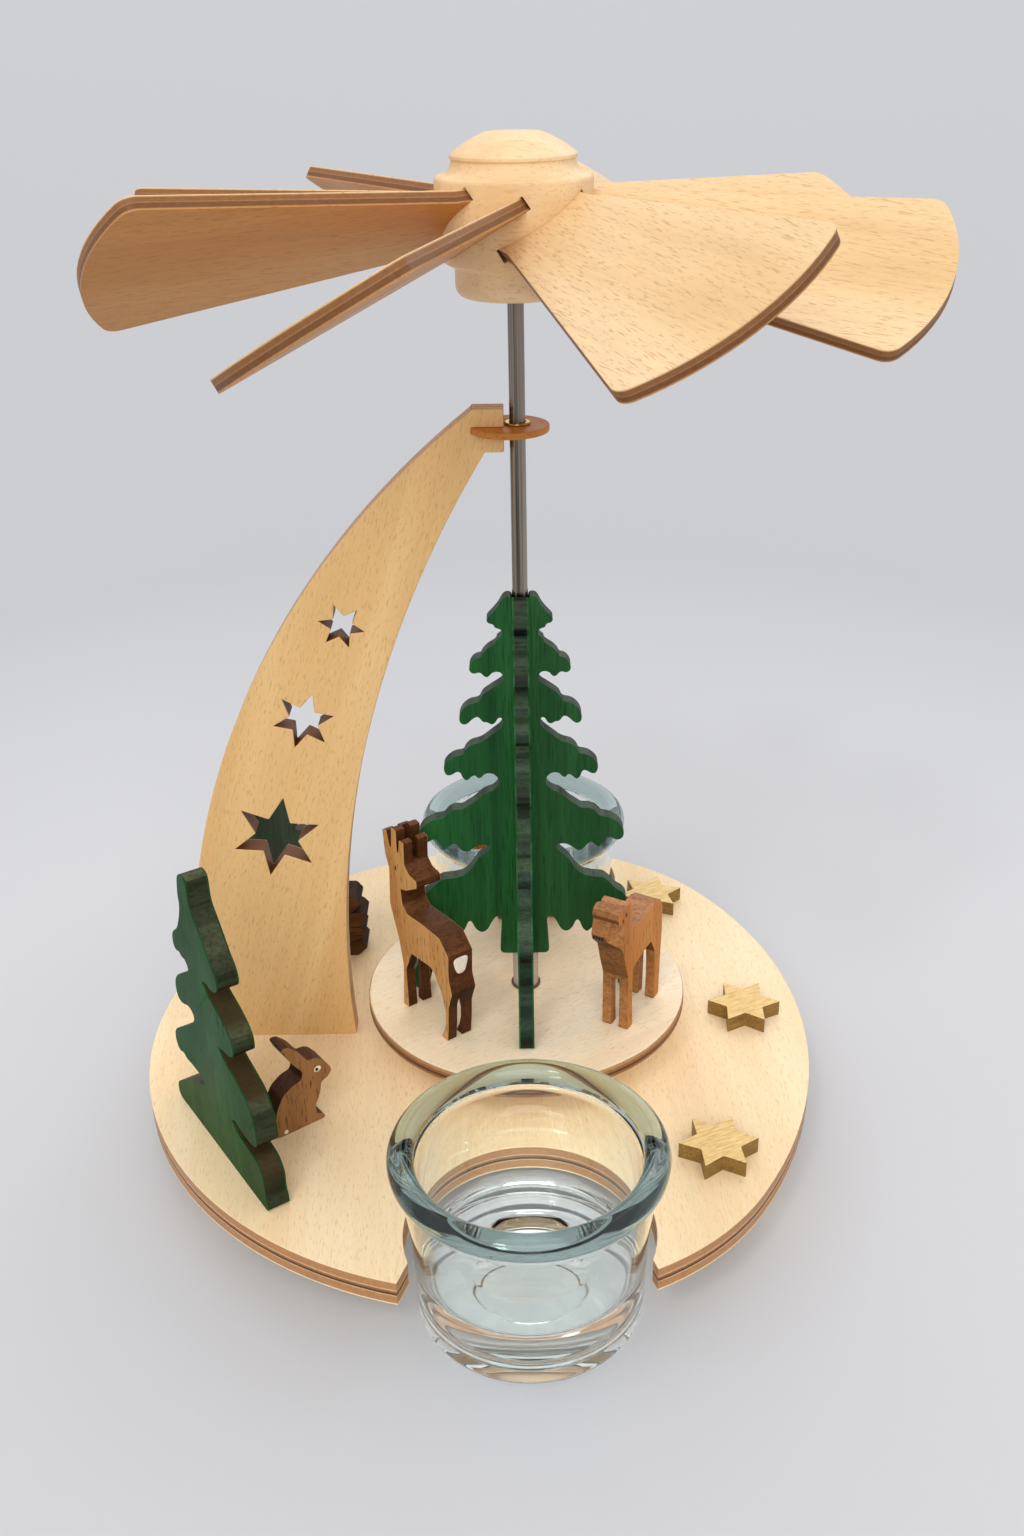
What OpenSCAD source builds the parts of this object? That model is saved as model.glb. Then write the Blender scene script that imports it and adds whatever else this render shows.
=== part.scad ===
// Table-top heat pyramid: an oval plywood base, a crescent arch that guides a steel
// spindle, a turntable with a tree and deer, an eight-bladed wind wheel and two tealight glasses.
// Millimetres, Z up. The origin is on the spindle's axis, on the surface that it stands on.

/* [Base plate] */
// Reach of the plate to the right of the spindle
base_right = 62.5; // [58:0.5:66]
// Reach of the plate to the left of the spindle, under the arch
base_left = 84; // [81:0.5:92]
// Half of the plate's depth, front to back
base_half_depth = 79.5; // [77:0.5:81]
// Radius of the plate's two right-hand corners
base_corner_r = 55; // [50:1:58]
// Plywood thickness of the plate
base_t = 5.5; // [5:0.1:8]
// Height of the turned feet
foot_h = 12; // [9:0.5:14]
// Radius of the turned feet
foot_r = 7; // [5:0.5:9]

/* [Glass pockets] */
// Distance of the glasses from the spindle
glass_y = 64; // [63:0.5:66]
// Gap between the glass and the pocket cut in the plate
pocket_gap = 1.8; // [1:0.1:3]
// Gap on each side where the glass passes the pocket's mouth
mouth_gap = 0.4; // [0.3:0.1:1]
// How far each side of the mouth flares outwards
mouth_flare = 3; // [1:0.5:5]

/* [Tealight glass] */
// Height of the glass
glass_h = 38.5; // [36:0.5:42]
// Outer radius of the wall at plate level
glass_r = 22.2; // [21.8:0.1:23]
// Inner radius of the wall, for a tealight
glass_bore_r = 20; // [19.4:0.1:20.5]
// Radius of the round rim bead
glass_rim_r = 2.5; // [2:0.1:2.8]
// Thickness of the glass floor
glass_floor = 11.5; // [8:0.5:13]
// Travel of a glass as it is pulled out of its pocket
glass_pull = 50; // [44:1:80]

/* [Arch] */
// Thickness of the arch board
arch_t = 5; // [4:0.5:7]
// Height of the arch above the plate
arch_h = 140.2; // [138.7:0.5:143.2]
// Reach of the arch's foot to the left of the spindle
arch_foot = 72.7; // [70:0.1:76]
// Width of the arch's foot
arch_foot_w = 34.3; // [30:0.1:35]
// Radius of the arch's outer edge
arch_outer_r = 165; // [140:1:190]
// Radius of the arch's inner edge
arch_inner_r = 218; // [200:1:260]
// Width of the head block that holds the guide disc
head_w = 6; // [5:0.5:8]
// Height of the head block
head_h = 8; // [7.5:0.5:9]
// Width of the arch's tenon
tenon_w = 20; // [14:1:24]
// Depth of the arch's tenon
tenon_d = 4.5; // [3:0.5:4.5]

/* [Guide disc and bush] */
// Radius of the plywood guide disc
disc_r = 7.5; // [6.5:0.1:9]
// Thickness of the guide disc
disc_t = 1.2; // [1:0.1:2]
// Offset of the disc's centre from the spindle, towards the arch
disc_offset = 1.5; // [0.5:0.1:2]
// Height of the disc's underside below the arch's top
disc_drop = 4.5; // [4:0.1:5.2]
// Wall of the brass bush
bush_wall = 0.5; // [0.4:0.05:0.8]
// Width of the bush's flange beyond its barrel
bush_flange = 0.4; // [0.3:0.1:0.8]

/* [Spindle] */
// Radius of the steel spindle
spindle_r = 1.5; // [1.4:0.05:1.6]
// Running clearance between the spindle and its bush
run_gap = 0.05; // [0.02:0.01:0.08]
// Outer radius of the pivot cup in the base
cup_r = 3.5; // [3:0.1:4.5]
// Depth of the pivot cup in the base
cup_d = 4; // [3.5:0.1:4.5]

/* [Turntable] */
// Radius of the turntable
table_r = 35; // [33:0.5:36.5]
// Thickness of the turntable
table_t = 3; // [2.5:0.1:4]
// Gap between the base plate and the turntable
table_lift = 8.6; // [6:0.1:11]
// Radius of the boss under the turntable
boss_r = 6; // [5:0.5:8]
// Height of the boss under the turntable
boss_h = 5; // [3:0.5:5.5]
// Outer radius of the sleeve that carries the tree
sleeve_r = 2.8; // [2.4:0.1:3.5]
// Length of that sleeve
sleeve_h = 9; // [7:0.5:11]
// Width of the rubber ring around the sleeve's foot
ring_w = 0.4; // [0.3:0.1:1.2]
// Height of the rubber ring
ring_h = 0.7; // [0.5:0.1:1.4]

/* [Tree] */
// Thickness of the tree's four boards
wing_t = 3.2; // [3.1:0.1:4]
// Width of the right-hand board as a share of the other boards' width
right_share = 0.955; // [0.92:0.005:1]

/* [Figures] */
// Thickness of the deer
deer_t = 6; // [5:0.5:6.5]
// Width of the saw cuts between a deer's legs and ears
leg_slit = 1.5; // [0.8:0.1:2]
// Thickness of the rabbit
rabbit_t = 5; // [4:0.5:7]
// Thickness of the two fir boards
fir_t = 4.6; // [4:0.1:6]
// Tip radius of the gold stars
gold_r = 8.2; // [6.5:0.1:8.6]
// Thickness of the gold stars
gold_t = 3.6; // [2:0.1:4.5]

/* [Wind wheel] */
// Largest radius of the turned hub
hub_r = 13.9; // [13:0.1:15]
// Clear height of the hub's underside above the plate
hub_z = 160; // [158:0.5:166]
// Tip radius of the wind wheel
wheel_r = 76; // [72:0.2:80]
// Pitch of the blades
blade_pitch = 30; // [26:1:34]
// Slope of the blades down from the hub
blade_droop = 7; // [4:0.5:10]
// Turn of the wheel about the spindle
wheel_turn = -26; // [-48:1:-4]
// Thickness of the blades
blade_t = 2.4; // [2:0.1:2.6]
// Width of a blade at the hub
blade_root_w = 16.8; // [15:0.2:17.4]
// Width of a blade at its outer corners
blade_tip_w = 39.8; // [34:0.2:44]
// Height of the curve of a blade's outer edge
blade_bow = 5.8; // [4:0.1:8]
// Radius of a blade's outer corners
blade_corner_r = 3; // [2:0.5:5]
// Depth of a blade in its slot
blade_seat = 4.5; // [3:0.5:5]

/* [Hidden] */
$fn = 64;

// Gap of a glued joint, and the reach of a cut past a face
glue_gap = 0.03;
past = 1;

// Levels
base_z = foot_h + base_t;
table_z = base_z + table_lift + table_t;
tree_z = table_z + sleeve_h;
arch_top = base_z + arch_h;
disc_z = arch_top - disc_drop;
hub_bottom = base_z + hub_z;

// Glass pockets
pocket_r = glass_r + pocket_gap;
mouth_half = glass_r + mouth_gap;
mouth_y = sqrt(pocket_r * pocket_r - mouth_half * mouth_half);

// Places of the feet under the plate
foot_spots = [[44, 36], [44, -36], [-58, 36], [-58, -36]];

// Bush, and the head block that stands clear of it
bore_r = spindle_r + run_gap;
barrel_r = bore_r + bush_wall;
flange_r = barrel_r + bush_flange;
head_gap = flange_r + 0.1;

// Arch: its edges as arcs from the plate to the head block
head_step = 0.3;
arch_outer_c = arc_centre([-arch_foot, 0], [head_step - head_gap - head_w, arch_h], arch_outer_r);
arch_inner_c = arc_centre([arch_foot_w - arch_foot, 0], [-head_gap - 0.6 * head_w, arch_h - head_h],
                          arch_inner_r);
tenon_x = (arch_foot_w - tenon_w) / 2 - arch_foot;
// Star cut-outs: height as a share of the arch's, tip radius, turn
arch_stars = [[0.7, 4.6, 45], [0.555, 6.3, 9], [0.364, 9.5, 17]];
star_waist = 0.47;

// Spindle
tip_h = 2.4;
tip_gap = 0.1;
spindle_foot = base_z - 3;
spindle_seat = 18;
spindle_top = hub_bottom + spindle_seat;

// Wind wheel: hub outline as radius and height above its underside
hub_h = 27;
hub_neck_r = 10.7;
hub_cap_r = 11.1;
hub_belly_r = 12.6;
slot_z = 13.9;
slot_gap = 0.1;
slot_extra = 1;
blade_root_x = hub_r - blade_seat;
blade_corner_x = wheel_r - blade_bow;
// Turn, pitch and droop by which each glued blade stands off the even setting
blade_sets = [[2, -1.5, 1], [-2.5, -1, 1], [0, 0, 0], [0.5, 0, 0],
              [-5.5, 0, 0], [4.5, 5, -3], [-3, -1, 0.5], [3, 0.5, -0.5]];

// Half outline of a tree board: distance from the spindle and height above its trunk's foot
wing_outline = [
    [1.6, 83], [3.2, 83], [4.4, 80.8], [5.8, 79.2], [6.8, 78.2], [6.4, 77.4], [5.3, 77.2], [5.1, 76.4],
    [4, 76.2], [3.5, 75.4], [3.8, 74.6], [4.8, 74], [4.8, 73.2], [6.8, 72], [7.8, 70.8], [7.9, 70.2],
    [9.2, 70], [10.2, 68.8], [10.5, 67.4], [9.6, 66.6], [8.2, 67.1], [7.4, 66], [6.6, 65.9], [5.8, 67],
    [4.2, 67.1], [3.5, 66], [3.8, 64.8], [5.4, 63.8], [8, 62], [8.5, 60.4], [10.4, 60.2], [12, 59],
    [12.8, 57.2], [12.6, 55.8], [11.4, 55.4], [9.8, 57], [8.8, 57.3], [8, 56], [7, 56], [6.2, 55.4],
    [5.4, 55.8], [4.9, 56.9], [4.1, 57], [3.7, 55.8], [4.4, 54.6], [6.4, 53], [8.4, 51.4], [10.6, 50.9],
    [11.8, 49.6], [12, 48.6], [14, 48.4], [15.8, 47], [16.4, 45.6], [15.9, 44], [14.8, 44], [13.6, 44.9],
    [12.8, 44.6], [12.5, 43.4], [11.6, 42.6], [10.6, 43.7], [9.8, 44], [9.3, 43.2], [8.5, 43.4],
    [7.9, 44.3], [6.2, 44.4], [5, 43.2], [5, 41.6], [6.2, 40.2], [8.2, 39.6], [10.2, 37.6], [11.8, 36.6],
    [12.8, 35.8], [14.4, 36], [15.8, 35.2], [16.6, 33.9], [18.4, 33.8], [21, 32.4], [22.2, 30.4],
    [22, 28.6], [20.6, 28], [19.2, 28.9], [18.3, 28.8], [17.5, 27.2], [16.5, 26.4], [15.1, 27.8],
    [14.1, 27.5], [13.4, 26.2], [12, 25.6], [10.6, 26.8], [9.2, 27.5], [7.4, 27.4], [7, 26.4], [8, 25.4],
    [9.8, 24], [11.2, 21.6], [12.9, 19.8], [15.3, 19.2], [17.8, 19], [19.4, 17.4], [20.6, 16], [22.2, 15.2],
    [23.2, 13.4], [22.2, 11.6], [20.6, 10.6], [20.8, 3.5], [24.8, -4.8], [24.6, -8.9], [21.6, -8.9],
    [19.4, 1.4], [16.8, 6], [15.4, 6.6], [14.2, 5.2], [13.2, 6], [12.3, 8.4], [11.6, 8.4], [10.8, 6.4],
    [9.6, 5.4], [8.2, 6], [7.2, 8.2], [6.2, 9.6], [5.2, 9.4], [5, 8], [5.5, 0.8], [5, 0], [1.6, 0]];
wing_round = 0.9;

// Deer outlines: distance along the body from the front hoof and height above the turntable
stag_outline = [
    [0, 0], [2, 0], [2.8, 9.6], [4.4, 14.6], [5.8, 14.6], [11.8, 15.2], [14, 14], [16, 10.6],
    [16.2, 5.6], [14.8, 0], [17.1, 0], [18.2, 6], [19, 10.6], [19.4, 13.4], [18.6, 16], [18.6, 21.6],
    [15.2, 24.8], [8.8, 25], [3.4, 24.6], [1.6, 26.2], [1.2, 29.8], [3.4, 30.4], [7.8, 33], [7.6, 34.6],
    [4.8, 35], [3.2, 36.6], [3.4, 41.6], [1.8, 41.8], [1.2, 38.4], [0.6, 38.4], [0.6, 43.4],
    [-1.2, 43.6], [-1.6, 38.6], [-2.2, 38.6], [-3.2, 42], [-4.8, 41.6], [-4.2, 36], [-2.9, 33],
    [-3.4, 24], [-0.6, 17], [0.8, 10.4]];
doe_outline = [
    [0, 0], [2.4, 0], [2.4, 9.6], [3.6, 13.2], [7.4, 14.4], [11, 15.8], [13, 12.4], [13.2, 6.4],
    [12.9, 0], [15.4, 0], [15.8, 9], [16.4, 15.8], [16.4, 22], [15, 24.6], [12.8, 25.2], [6, 24],
    [3.2, 24.2], [2.4, 27], [2.6, 30.2], [1.2, 32.4], [-0.6, 32.2], [-1.4, 30.4], [-2.6, 30.2],
    [-3.4, 28.6], [-3.2, 27.6], [-5.2, 26.2], [-5.4, 24.2], [-3.2, 23.4], [-1.9, 18.4], [-0.6, 10]];
fawn_outline = [
    [0, 0], [2.8, 0], [3.2, 9], [5, 12.4], [9.8, 12.8], [11.8, 7.4], [12.2, 0], [15.2, 0], [15.6, 6.4],
    [16, 13], [15, 18.4], [12.6, 19.6], [4.8, 19], [2.6, 22.4], [2.4, 25.6], [0.6, 27.8], [-0.6, 27.4],
    [-0.8, 25.6], [-4.6, 23.4], [-6, 20.8], [-5.4, 19.4], [-1.8, 19.6], [-1.4, 13], [-0.6, 9]];
deer_round = 0.6;
slit_h = 12;
slit_l = 60;

// Fir outline: distance along its foot and height above the plate
fir_outline = [
    [0, 0], [43.2, 0], [42, 3.8], [42.2, 7.4], [40, 10.2], [35.4, 10.9], [31.2, 11.4], [28.6, 13],
    [30.8, 14.3], [34, 13.4], [38.4, 13.4], [40.8, 14.4], [40.8, 17.2], [40, 20.8], [37.4, 24.2],
    [33.4, 25.8], [29.2, 27.2], [26.2, 29.4], [28.8, 30], [31.8, 30.2], [34.2, 31.4], [34, 34.8],
    [31.6, 36.8], [28.4, 38.4], [24.4, 39.8], [22.2, 42.2], [24.2, 42.8], [26.4, 42.3], [29.2, 43.1],
    [30.2, 44.8], [29.4, 47.4], [27, 49.6], [25.4, 51.9], [22.6, 55.4], [20.6, 57.8], [20.5, 62.8],
    [19.2, 63.5], [17.4, 63.4], [16.2, 62], [15.4, 57.6], [15.8, 56], [14.9, 53], [12.6, 48.8], [9.8, 46.8],
    [9, 45], [9.2, 43.2], [10.2, 42.5], [12, 43.2], [12.8, 42.4], [14.6, 42.8], [16.2, 40.9], [12.6, 38.6],
    [8.6, 35.8], [7, 33.4], [7, 31], [7.8, 29.6], [10, 29.6], [12.8, 30.9], [15, 30.4], [15.5, 28.7],
    [12, 25.6], [7.4, 22.4], [3.6, 19.8], [2.3, 17.8], [2.6, 15.4], [4.2, 14.3], [6.2, 15.3], [7.2, 14.4],
    [10.2, 14.8], [14.4, 14.8], [16.6, 13.2], [11.8, 11.2], [4.2, 7], [0, 3.8], [-0.6, 2]];
fir_round = 1.5;

// Rabbit outline: distance along its foot and height above the plate
rabbit_outline = [
    [0.4, 0], [0, 3.6], [0.6, 6.8], [2.2, 9.8], [4.6, 11.4], [6.8, 11.8], [7.2, 13.8], [5.6, 15.8],
    [3.8, 18.8], [2.8, 21.2], [4.4, 21.2], [6.6, 19], [8.6, 15.8], [10, 15.9], [11.4, 15.2],
    [13.2, 12.8], [13.9, 11.2], [12.8, 9.9], [11.2, 9.4], [10.8, 7], [9.4, 4], [9.6, 1.8], [10.8, 1.4],
    [11.4, 0.6], [11.2, 0]];
rabbit_round = 0.8;

// Places and headings of the figures; the firs' places are set in from the plate's edges
stag_at = [-26.8, -7.2];
stag_turn = -54;
doe_at = [21.4, -18.1];
doe_turn = 60;
fawn_at = [-6.5, 26.2];
fawn_turn = 2;
front_fir_inset = [9.9, 56.3];
front_fir_at = front_fir_inset - [base_left, base_half_depth];
front_fir_turn = -56;
rear_fir_inset = [17.2, -62.9];
rear_fir_at = rear_fir_inset - [base_left, -base_half_depth];
rear_fir_turn = 65;
rabbit_at = [-51.4, -37.8];
rabbit_turn = 37;

// Gold stars: place on the plate and turn
gold_stars = [[[32.2, 51], 12], [[49.5, 3], 28], [[38, -44], 22]];
gold_waist = 0.56;

// Wood pile: half width, height and length of a split log, and the stagger of each layer
log_size = [5, 4.3, 14];
log_stagger = [-0.2, 0, 0.6, -0.3];
pile_at = [-44.2, 36];

wood_pale = [0.93, 0.80, 0.60];
wood_mid = [0.80, 0.60, 0.37];
wood_deer = [0.60, 0.41, 0.24];
wood_dark = [0.36, 0.23, 0.14];
wood_green = [0.13, 0.36, 0.19];

// Points of an arc about c, from angle a0 to a1 in n steps
function arc(c, r, a0, a1, n) =
    [for (i = [0:n]) c + r * [cos(a0 + (a1 - a0) * i / n), sin(a0 + (a1 - a0) * i / n)]];

// A list without its first item
function rest(list) = [for (i = [1:len(list) - 1]) list[i]];

// Centre, on the right, of the circle of radius r that passes up through a and b
function arc_centre(a, b, r) =
    let (half = norm(b - a) / 2,
         up = (b - a) / (2 * half))
    (a + b) / 2 + sqrt(r * r - half * half) * [up[1], -up[0]];

// Place of a circle's left edge at height z, and the middle of the arch there
function left_edge(c, r, z) = c[0] - sqrt(r * r - (z - c[1]) * (z - c[1]));
function arch_middle(z) =
    (left_edge(arch_outer_c, arch_outer_r, z) + left_edge(arch_inner_c, arch_inner_r, z)) / 2;

// Point on the edge from a towards b, no further than reach or half of the edge
function along(a, b, reach) = a + (b - a) * min(reach / norm(b - a), 0.48);

// Outline with every corner drawn as a curve that starts reach before it and ends reach after it
function rounded(pts, reach, n = 4) =
    [for (i = [0:len(pts) - 1], k = [0:n])
        let (p = pts[i],
             a = along(p, pts[(i + len(pts) - 1) % len(pts)], reach),
             b = along(p, pts[(i + 1) % len(pts)], reach),
             t = k / n)
        (1 - t) * (1 - t) * a + 2 * t * (1 - t) * p + t * t * b];

// Six-pointed star
function star(r, waist, turn) =
    [for (i = [0:11]) (i % 2 == 0 ? r : r * waist) * [cos(turn + 30 * i), sin(turn + 30 * i)]];

// A flat board stood on edge: outline in its own length and height, from y = 0 back to y = t
module board(outline, t) {
    rotate([90, 0, 0])
        translate([0, 0, -t])
            linear_extrude(t)
                polygon(outline);
}

// Outline of the base plate: a half round under the arch, two corner arcs and a long side arc
// that meets them smoothly
function base_outline() =
    let (flat = base_left - base_half_depth,
         end_y = base_half_depth - base_corner_r,
         side_r = (end_y * end_y + base_right * base_right - base_corner_r * base_corner_r)
             / (2 * (base_right - base_corner_r)),
         side_x = base_right - side_r,
         turn = atan2(end_y, -side_x))
    concat(rest(arc([side_x, 0], side_r, -turn, turn, 24)),
           rest(arc([0, end_y], base_corner_r, turn, 90, 16)),
           arc([-flat, 0], base_half_depth, 90, 270, 64),
           arc([0, -end_y], base_corner_r, -90, -turn, 16));

// Outline of the pocket for the front glass, open at the plate's edge, with a flared mouth
function pocket_outline() =
    let (out = base_half_depth + past,
         corner = asin(mouth_y / pocket_r),
         flare_x = mouth_half + mouth_flare)
    concat(arc([0, -glass_y], pocket_r, -corner, 180 + corner, 48),
           [[-flare_x, -out], [flare_x, -out]]);

module base_plate() {
    color(wood_pale)
        difference() {
            translate([0, 0, foot_h])
                linear_extrude(base_t)
                    difference() {
                        polygon(base_outline());
                        polygon(pocket_outline());
                        rotate(180)
                            polygon(pocket_outline());
                    }
            translate([0, 0, base_z - cup_d - glue_gap])
                cylinder(r = cup_r + glue_gap, h = cup_d + past);
            translate([tenon_x - glue_gap, -arch_t / 2 - glue_gap, base_z - tenon_d - glue_gap])
                cube([tenon_w + 2 * glue_gap, arch_t + 2 * glue_gap, tenon_d + past]);
        }
}

// A turned foot, waisted and rounded at the floor
module foot(k) {
    sole_r = foot_r - 1.2;
    color(wood_mid)
        translate(foot_spots[k])
            rotate_extrude()
                polygon(concat([[0, 0], [sole_r, 0]],
                               arc([sole_r, 1.2], 1.2, -60, 30, 4),
                               [[foot_r - 0.8, foot_h - 1], [foot_r, foot_h], [0, foot_h]]));
}

module foot_1() foot(0);
module foot_2() foot(1);
module foot_3() foot(2);
module foot_4() foot(3);

// Brass cup with a cone for the spindle's point
module pivot_cup() {
    color("goldenrod")
        translate([0, 0, base_z - cup_d])
            difference() {
                cylinder(r = cup_r, h = cup_d);
                translate([0, 0, spindle_foot - tip_gap - base_z + cup_d])
                    cylinder(r1 = 0.2, r2 = 0.2 + spindle_r + tip_gap, h = tip_h);
                translate([0, 0, spindle_foot - tip_gap - base_z + cup_d + tip_h])
                    cylinder(r = spindle_r + 0.2 + tip_gap, h = cup_d);
            }
}

// Crescent between two arcs, with a square head block and a tenon
module arch_face() {
    difference() {
        union() {
            intersection() {
                difference() {
                    translate(arch_outer_c)
                        circle(arch_outer_r, $fn = 128);
                    translate(arch_inner_c)
                        circle(arch_inner_r, $fn = 128);
                }
                translate([-base_left, 0])
                    square([base_left - head_gap, arch_h]);
            }
            translate([-head_gap - head_w, arch_h - head_h])
                square([head_w, head_h]);
            translate([tenon_x, -tenon_d])
                square([tenon_w, tenon_d + past]);
        }
        for (cut = arch_stars)
            translate([arch_middle(cut[0] * arch_h), cut[0] * arch_h])
                polygon(star(cut[1], star_waist, cut[2]));
    }
}

module arch_support() {
    color(wood_pale)
        difference() {
            translate([0, 0, base_z])
                rotate([90, 0, 0])
                    linear_extrude(arch_t, center = true)
                        arch_face();
            translate([-disc_offset, 0, disc_z - glue_gap])
                cylinder(r = disc_r + glue_gap, h = disc_t + 2 * glue_gap);
        }
}

module guide_disc() {
    color(wood_mid)
        translate([0, 0, disc_z])
            difference() {
                translate([-disc_offset, 0, 0])
                    cylinder(r = disc_r, h = disc_t);
                translate([0, 0, -past])
                    cylinder(r = barrel_r + glue_gap, h = disc_t + 2 * past);
            }
}

// Flanged brass bush that the spindle runs in
module guide_bush() {
    flange_t = 0.5;
    color("goldenrod")
        translate([0, 0, disc_z])
            rotate_extrude()
                polygon([[bore_r, -0.6], [barrel_r, -0.6], [barrel_r, disc_t], [flange_r, disc_t],
                         [flange_r, disc_t + flange_t], [bore_r, disc_t + flange_t]]);
}

// Steel spindle with a pointed foot
module spindle() {
    color("silver")
        rotate_extrude()
            polygon([[0, spindle_foot], [0.2, spindle_foot], [spindle_r, spindle_foot + tip_h],
                     [spindle_r, spindle_top - 0.4], [spindle_r - 0.4, spindle_top], [0, spindle_top]]);
}

module turntable() {
    edge = 0.3;
    color(wood_pale)
        translate([0, 0, table_z - table_t])
            rotate_extrude()
                polygon([[spindle_r + glue_gap, 0], [table_r - edge, 0], [table_r, edge],
                         [table_r, table_t - edge], [table_r - edge, table_t],
                         [spindle_r + glue_gap, table_t]]);
}

// Boss glued under the turntable, which keeps it square to the spindle
module turntable_boss() {
    color(wood_mid)
        translate([0, 0, table_z - table_t - boss_h])
            rotate_extrude()
                polygon([[spindle_r + glue_gap, 0], [boss_r - 1, 0], [boss_r, 1], [boss_r, boss_h],
                         [spindle_r + glue_gap, boss_h]]);
}

module tree_sleeve() {
    color([0.72, 0.68, 0.60])
        translate([0, 0, table_z])
            rotate_extrude()
                translate([spindle_r + glue_gap, 0])
                    square([sleeve_r - spindle_r - glue_gap, sleeve_h]);
}

module sleeve_ring() {
    half_w = ring_w / 2;
    mid_r = sleeve_r + glue_gap + half_w;
    color("black")
        translate([0, 0, table_z])
            rotate_extrude()
                polygon(concat([[mid_r - half_w, 0], [mid_r + half_w, 0]],
                               arc([mid_r, ring_h - half_w], half_w, 0, 180, 6)));
}

// One board of the tree, standing out from the spindle at the given turn, with its boughs
// drawn in by a share
module tree_board(turn, share = 1) {
    outline = [for (p = wing_outline) p[0] > wing_t ? [p[0] * share, p[1]] : p];
    color(wood_green)
        translate([0, 0, tree_z])
            rotate(turn)
                translate([0, -wing_t / 2, 0])
                    board(rounded(outline, wing_round, 3), wing_t);
}

module tree_board_left() tree_board(180);
module tree_board_right() tree_board(0, right_share);
module tree_board_front() tree_board(-90);
module tree_board_back() tree_board(90);

// A deer sawn from a thick board, with saw cuts that part its legs and its ears
module deer(outline, at, turn, ear_h) {
    color(wood_deer)
        translate([at[0], at[1], table_z])
            rotate(turn)
                difference() {
                    board(rounded(outline, deer_round, 3), deer_t);
                    translate([-slit_l / 2, (deer_t - leg_slit) / 2, -past])
                        cube([slit_l, leg_slit, slit_h + past]);
                    translate([-slit_l / 2, (deer_t - leg_slit) / 2, ear_h])
                        cube([slit_l, leg_slit, slit_h]);
                }
}

module stag() deer(stag_outline, stag_at, stag_turn, 36.6);
module doe() deer(doe_outline, doe_at, doe_turn, 29.6);
module fawn() deer(fawn_outline, fawn_at, fawn_turn, 25.4);

// Turned hub: rounded neck, belly, shoulder, cove and domed cap
module hub_body() {
    shoulder_z = 20.3;
    cap_z = 23.3;
    cove_r = 2.4;
    rotate_extrude()
        polygon(concat([[0, 0], [hub_neck_r - 2, 0]],
                       arc([hub_neck_r - 2, 2], 2, -70, 0, 4),
                       [[hub_neck_r, 5], [hub_neck_r + 0.8, 5.4], [hub_belly_r, 6], [hub_r, 13.6]],
                       arc([hub_r - 0.8, shoulder_z - 0.8], 0.8, 0, 70, 3),
                       arc([hub_cap_r + cove_r - 0.3, cap_z - 0.5], cove_r, 258, 180, 5),
                       [[hub_cap_r, cap_z - 0.3], [hub_cap_r, cap_z + 0.2], [hub_cap_r - 0.4, cap_z + 0.6],
                        [8.8, cap_z + 1.9], [6.5, hub_h - 0.6], [5, hub_h], [0, hub_h]]));
}

// Puts a slot or a blade, lying along X, in its place on the hub
module blade_place(k) {
    set = blade_sets[k];
    translate([0, 0, slot_z])
        rotate(wheel_turn + 45 * k + set[0])
            rotate([blade_pitch + set[1], 0, 0])
                rotate([0, blade_droop + set[2], 0])
                    children();
}

module wheel_hub() {
    slot_w = blade_root_w + slot_extra;
    color(wood_mid)
        translate([0, 0, hub_bottom])
            difference() {
                hub_body();
                translate([0, 0, -past])
                    cylinder(r = spindle_r + glue_gap, h = spindle_seat + past + slot_gap);
                for (k = [0:7])
                    blade_place(k)
                        translate([blade_root_x - slot_gap, -slot_w / 2, -blade_t / 2 - glue_gap])
                            cube([hub_r, slot_w, blade_t + 2 * glue_gap]);
            }
}

// Upper half of a blade's outline, from the root to the middle of its bowed tip
function blade_half() =
    let (root = blade_root_w / 2,
         tip = blade_tip_w / 2,
         bow_r = (tip * tip + blade_bow * blade_bow) / (2 * blade_bow),
         bow_c = wheel_r - bow_r,
         lean = atan((tip - root) / (blade_corner_x - hub_r)),
         r = blade_corner_r,
         // height of the corner arc's centre line at the spindle
         rise = root - hub_r * tan(lean) - r / cos(lean),
         qa = 1 + tan(lean) * tan(lean),
         qb = rise * tan(lean) - bow_c,
         qc = bow_c * bow_c + rise * rise - (bow_r - r) * (bow_r - r),
         cx = (-qb + sqrt(qb * qb - qa * qc)) / qa,
         cy = rise + cx * tan(lean),
         turn = atan2(cy, cx - bow_c))
    concat([[blade_root_x, root], [hub_r, root]],
           arc([cx, cy], r, 90 + lean, turn, 6),
           arc([bow_c, 0], bow_r, turn, 0, 8));

module blade(k) {
    half = blade_half();
    below = [for (i = [len(half) - 2:-1:0]) [half[i][0], -half[i][1]]];
    color(wood_mid)
        translate([0, 0, hub_bottom])
            blade_place(k)
                linear_extrude(blade_t, center = true)
                    polygon(concat(half, below));
}

module blade_1() blade(0);
module blade_2() blade(1);
module blade_3() blade(2);
module blade_4() blade(3);
module blade_5() blade(4);
module blade_6() blade(5);
module blade_7() blade(6);
module blade_8() blade(7);

module fir(at, turn) {
    color(wood_green)
        translate([at[0], at[1], base_z])
            rotate(turn)
                board(rounded(fir_outline, fir_round, 3), fir_t);
}

module front_fir() fir(front_fir_at, front_fir_turn);
module rear_fir() fir(rear_fir_at, rear_fir_turn);

module rabbit() {
    color(wood_dark)
        translate([rabbit_at[0], rabbit_at[1], base_z])
            rotate(rabbit_turn)
                board(rounded(rabbit_outline, rabbit_round), rabbit_t);
}

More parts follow.
